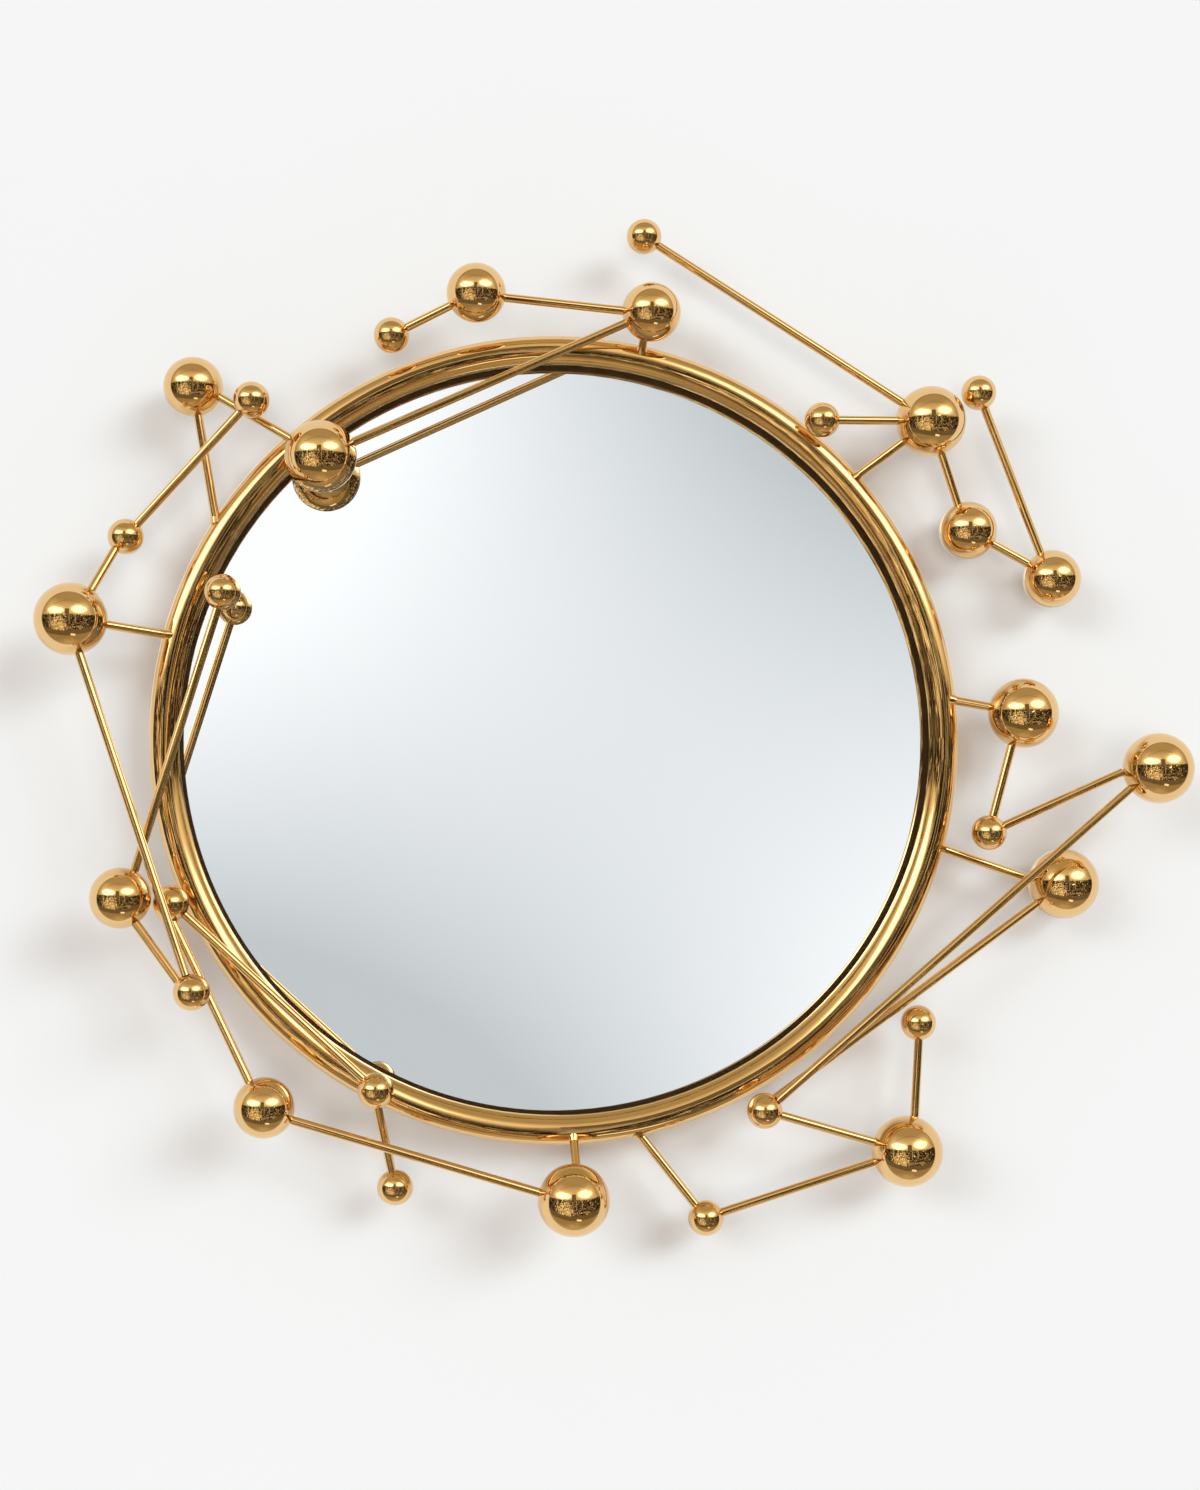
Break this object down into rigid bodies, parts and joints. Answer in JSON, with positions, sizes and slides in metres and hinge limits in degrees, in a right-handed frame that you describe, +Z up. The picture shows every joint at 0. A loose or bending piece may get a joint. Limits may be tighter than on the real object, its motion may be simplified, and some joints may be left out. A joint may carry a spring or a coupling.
{
  "type": "wall mirror",
  "caption": "Round wall mirror in a polished brass tube ring, with runs of thin brass rods and polished brass balls spread around its rim.",
  "frame": {"origin": "middle of the wall rail's line of screw holes, on the plane of the wall; the centre of the mirror ring is 170 mm below it", "axes": "+Z up, +X to the right seen from the front, +Y into the wall; the mirror faces -Y"},
  "size_m": [1.2349, 0.136, 1.1],
  "materials": {
    "polished_brass": "mirror polished and lacquered",
    "satin_brass": "satin, unpolished on the rear",
    "silvered_glass": "float glass, silvered, ground edge",
    "grey_foam": "closed-cell foam sheet",
    "plywood": "birch plywood, sealed",
    "rail_aluminium": "mill extrusion",
    "steel_bar": "zinc plated",
    "steel_screws": "zinc plated",
    "black_rubber": "matt moulded rubber"
  },
  "bodies": {
    "wall": {"wall_rail": "rail_aluminium"},
    "mirror": {"backing_board": "plywood", "ball_bottom_left_1": "polished_brass", "ball_bottom_left_2": "polished_brass", "ball_bottom_left_3": "polished_brass", "ball_bottom_left_4": "polished_brass", "ball_bottom_left_5": "polished_brass", "ball_left_1": "polished_brass", "ball_left_2": "polished_brass", "ball_left_3": "polished_brass", "ball_left_4": "polished_brass", "ball_left_5": "polished_brass", "ball_left_6": "polished_brass", "ball_right_1": "polished_brass", "ball_right_2": "polished_brass", "ball_right_3": "polished_brass", "ball_right_4": "polished_brass", "ball_right_5": "polished_brass", "ball_right_6": "polished_brass", "ball_right_7": "polished_brass", "ball_right_8": "polished_brass", "ball_top_left_1": "polished_brass", "ball_top_left_2": "polished_brass", "ball_top_left_3": "polished_brass", "ball_top_left_4": "polished_brass", "ball_top_left_5": "polished_brass", "ball_top_right_1": "polished_brass", "ball_top_right_2": "polished_brass", "ball_top_right_3": "polished_brass", "ball_top_right_4": "polished_brass", "ball_top_right_5": "polished_brass", "ball_top_right_6": "polished_brass", "bumper_screws": "steel_screws", "clip_blocks": "satin_brass", "clip_screws": "steel_screws", "foam_sheet": "grey_foam", "frame_rail": "rail_aluminium", "frame_tube": "polished_brass", "hanger_bar": "steel_bar", "lower_bar": "steel_bar", "mirror_glass": "silvered_glass", "rail_screws": "steel_screws", "rear_band": "satin_brass", "retaining_clips": "steel_bar", "ring_welds": "polished_brass", "rods_bottom_left": "polished_brass", "rods_left": "polished_brass", "rods_right": "polished_brass", "rods_top_left": "polished_brass", "rods_top_right": "polished_brass", "stays_bottom_left": "polished_brass", "stays_left": "polished_brass", "stays_right": "polished_brass", "stays_top_left": "polished_brass", "stays_top_right": "polished_brass", "wall_bumpers": "black_rubber"}
  },
  "joints": [
    {"name": "lift_off", "type": "slide", "parent": "wall", "child": "mirror", "axis": [0, 0, 1], "range_m": [0, 0.014]}
  ]
}
